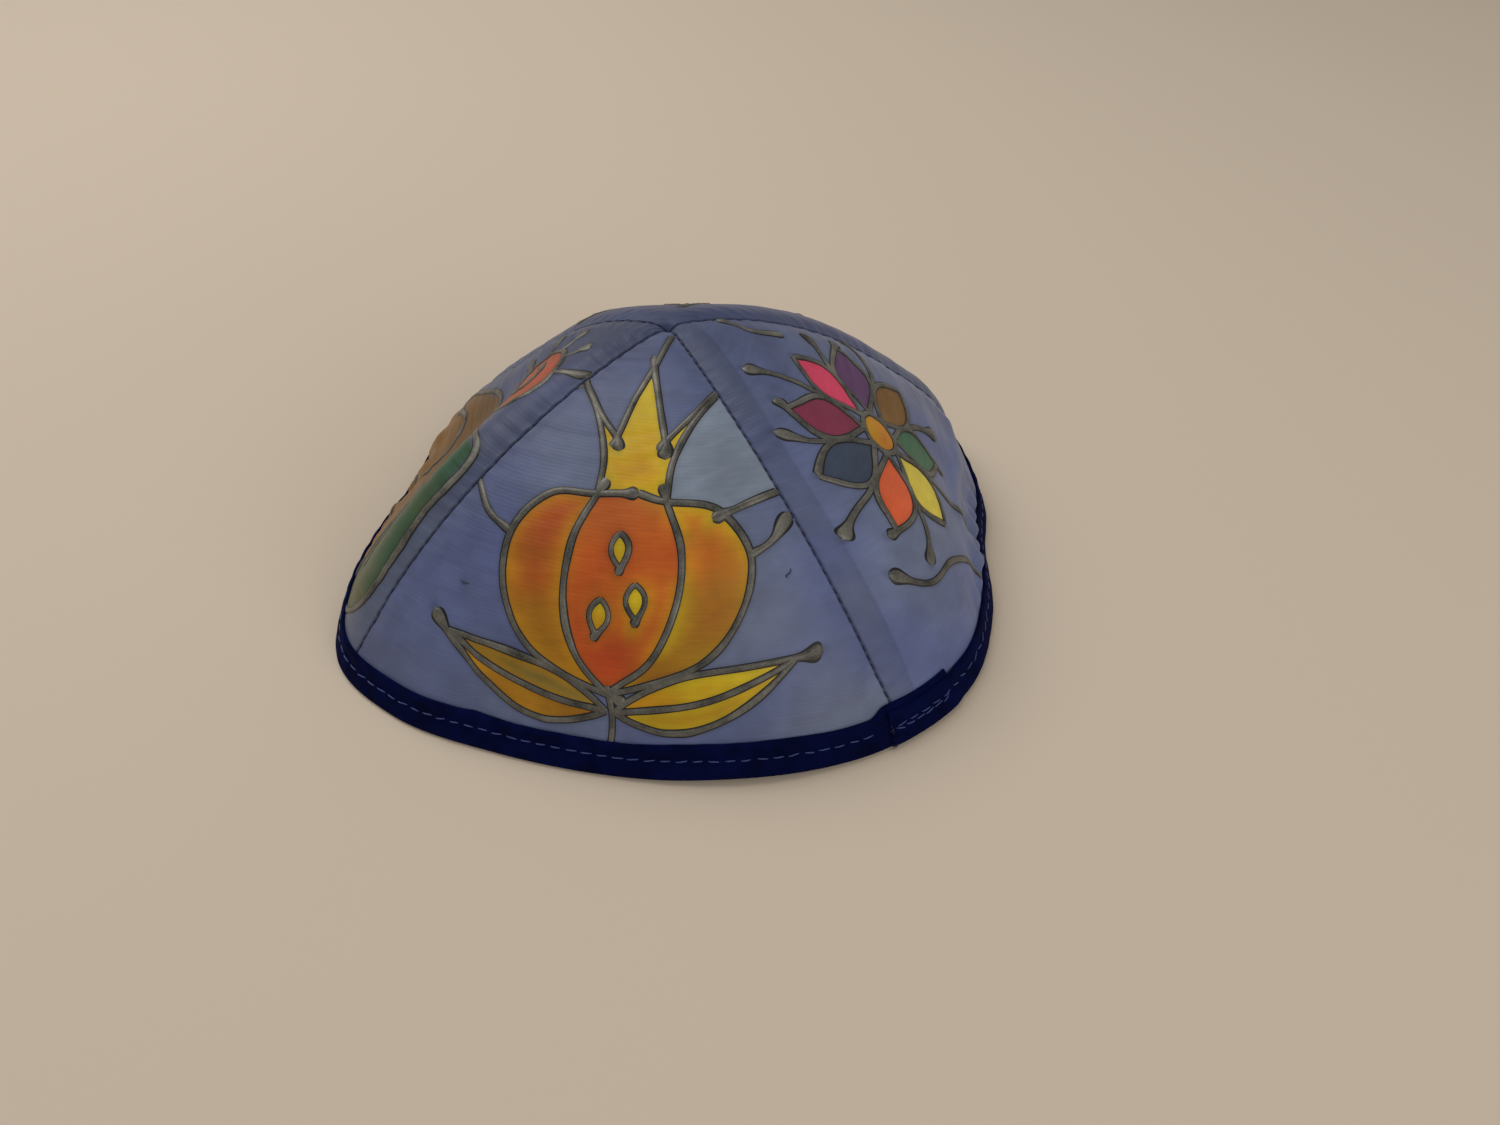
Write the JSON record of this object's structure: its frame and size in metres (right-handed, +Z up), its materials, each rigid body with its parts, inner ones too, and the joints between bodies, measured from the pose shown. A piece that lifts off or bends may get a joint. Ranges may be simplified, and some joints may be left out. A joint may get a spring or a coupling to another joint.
{
  "type": "painted silk kippah",
  "caption": "Domed skullcap of painted silk gores sewn together, with a dark bias tape folded over the rim, resting open side down.",
  "frame": {"origin": "middle of the piece's box in plan, on the surface that its rim rests on", "axes": "+Z up through the crown, -Y towards the front gore, +X to the viewer's right"},
  "size_m": [0.1758, 0.1576, 0.0635],
  "materials": {
    "painted_silk_front": "hand dyed habotai silk, orange and ochre on blue, soft satin",
    "painted_silk_right": "hand dyed habotai silk, many colours on blue, soft satin",
    "painted_silk_back": "hand dyed habotai silk, mostly blue, soft satin",
    "painted_silk_left": "hand dyed habotai silk, brown and green on blue, soft satin",
    "navy_bias_tape": "navy polycotton bias tape, matt"
  },
  "bodies": {
    "root": {"panel_front": "painted_silk_front", "panel_right": "painted_silk_right", "panel_back": "painted_silk_back", "panel_left": "painted_silk_left", "rim_binding": "navy_bias_tape"}
  },
  "joints": []
}
